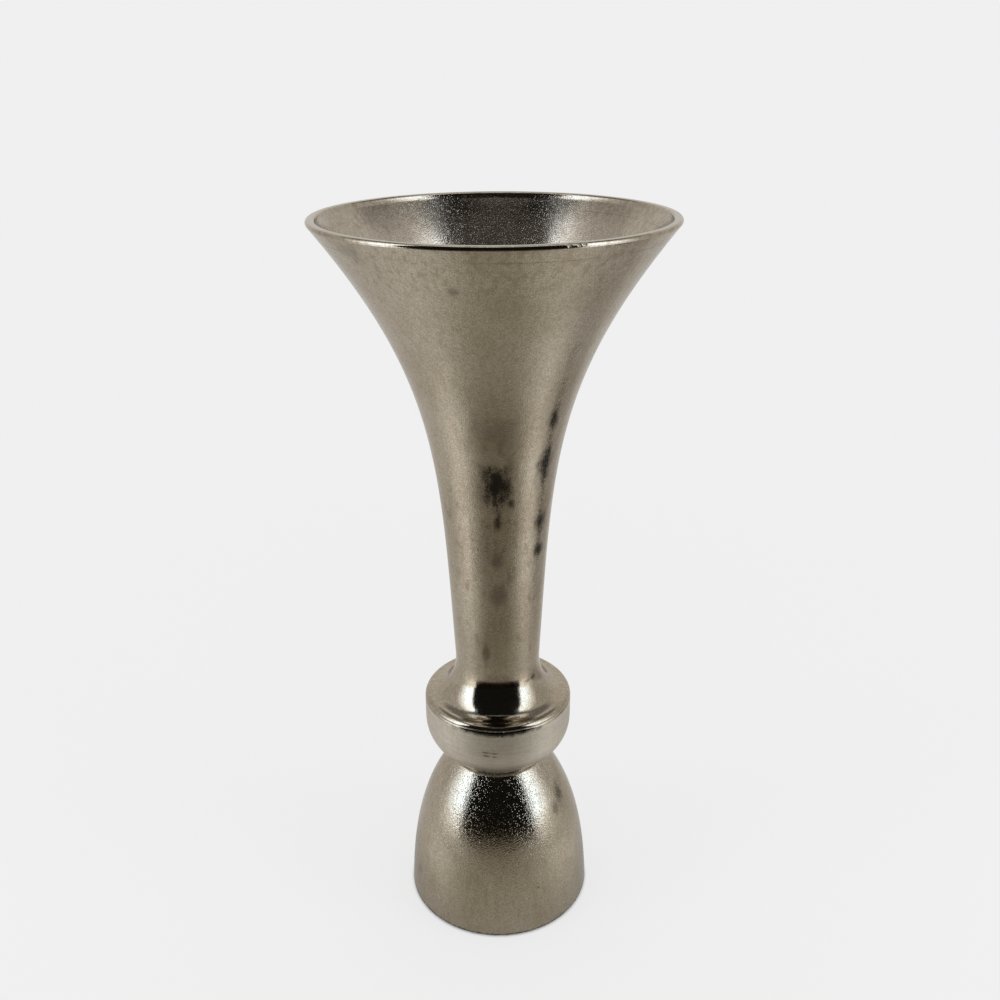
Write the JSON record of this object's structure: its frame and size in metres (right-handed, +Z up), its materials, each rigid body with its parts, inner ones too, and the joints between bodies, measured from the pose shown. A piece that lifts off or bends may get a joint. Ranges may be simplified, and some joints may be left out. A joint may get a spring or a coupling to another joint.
{
  "type": "trumpet vase",
  "caption": "Tall trumpet vase in nickel-plated cast aluminium: flared bell on a tapering stem, a round knop and a domed hollow base, drawn together by a threaded rod. Holds flowers.",
  "frame": {"origin": "on the table under the axis of the vase, at the underside of the felt feet", "axes": "+Z up along the axis of revolution, towards the mouth; X and Y are level and the felt feet lie on their diagonals"},
  "size_m": [0.2218, 0.2218, 0.5],
  "materials": {
    "nickel_plated_casting": "cast aluminium with a thin warm-grey nickel plate, satin outside with a fine cast grain",
    "zinc_plated_steel": "bright zinc plate on steel fastenings",
    "spring_steel": "dark oiled spring steel",
    "felt": "pressed wool felt with adhesive back"
  },
  "bodies": {
    "root": {"trumpet": "nickel_plated_casting", "knop": "nickel_plated_casting", "base_bell": "nickel_plated_casting", "tie_rod": "zinc_plated_steel", "crown_washer": "zinc_plated_steel", "spring_washer": "spring_steel", "clamp_nut": "zinc_plated_steel", "felt_foot_1": "felt", "felt_foot_2": "felt", "felt_foot_3": "felt", "felt_foot_4": "felt"}
  },
  "joints": []
}
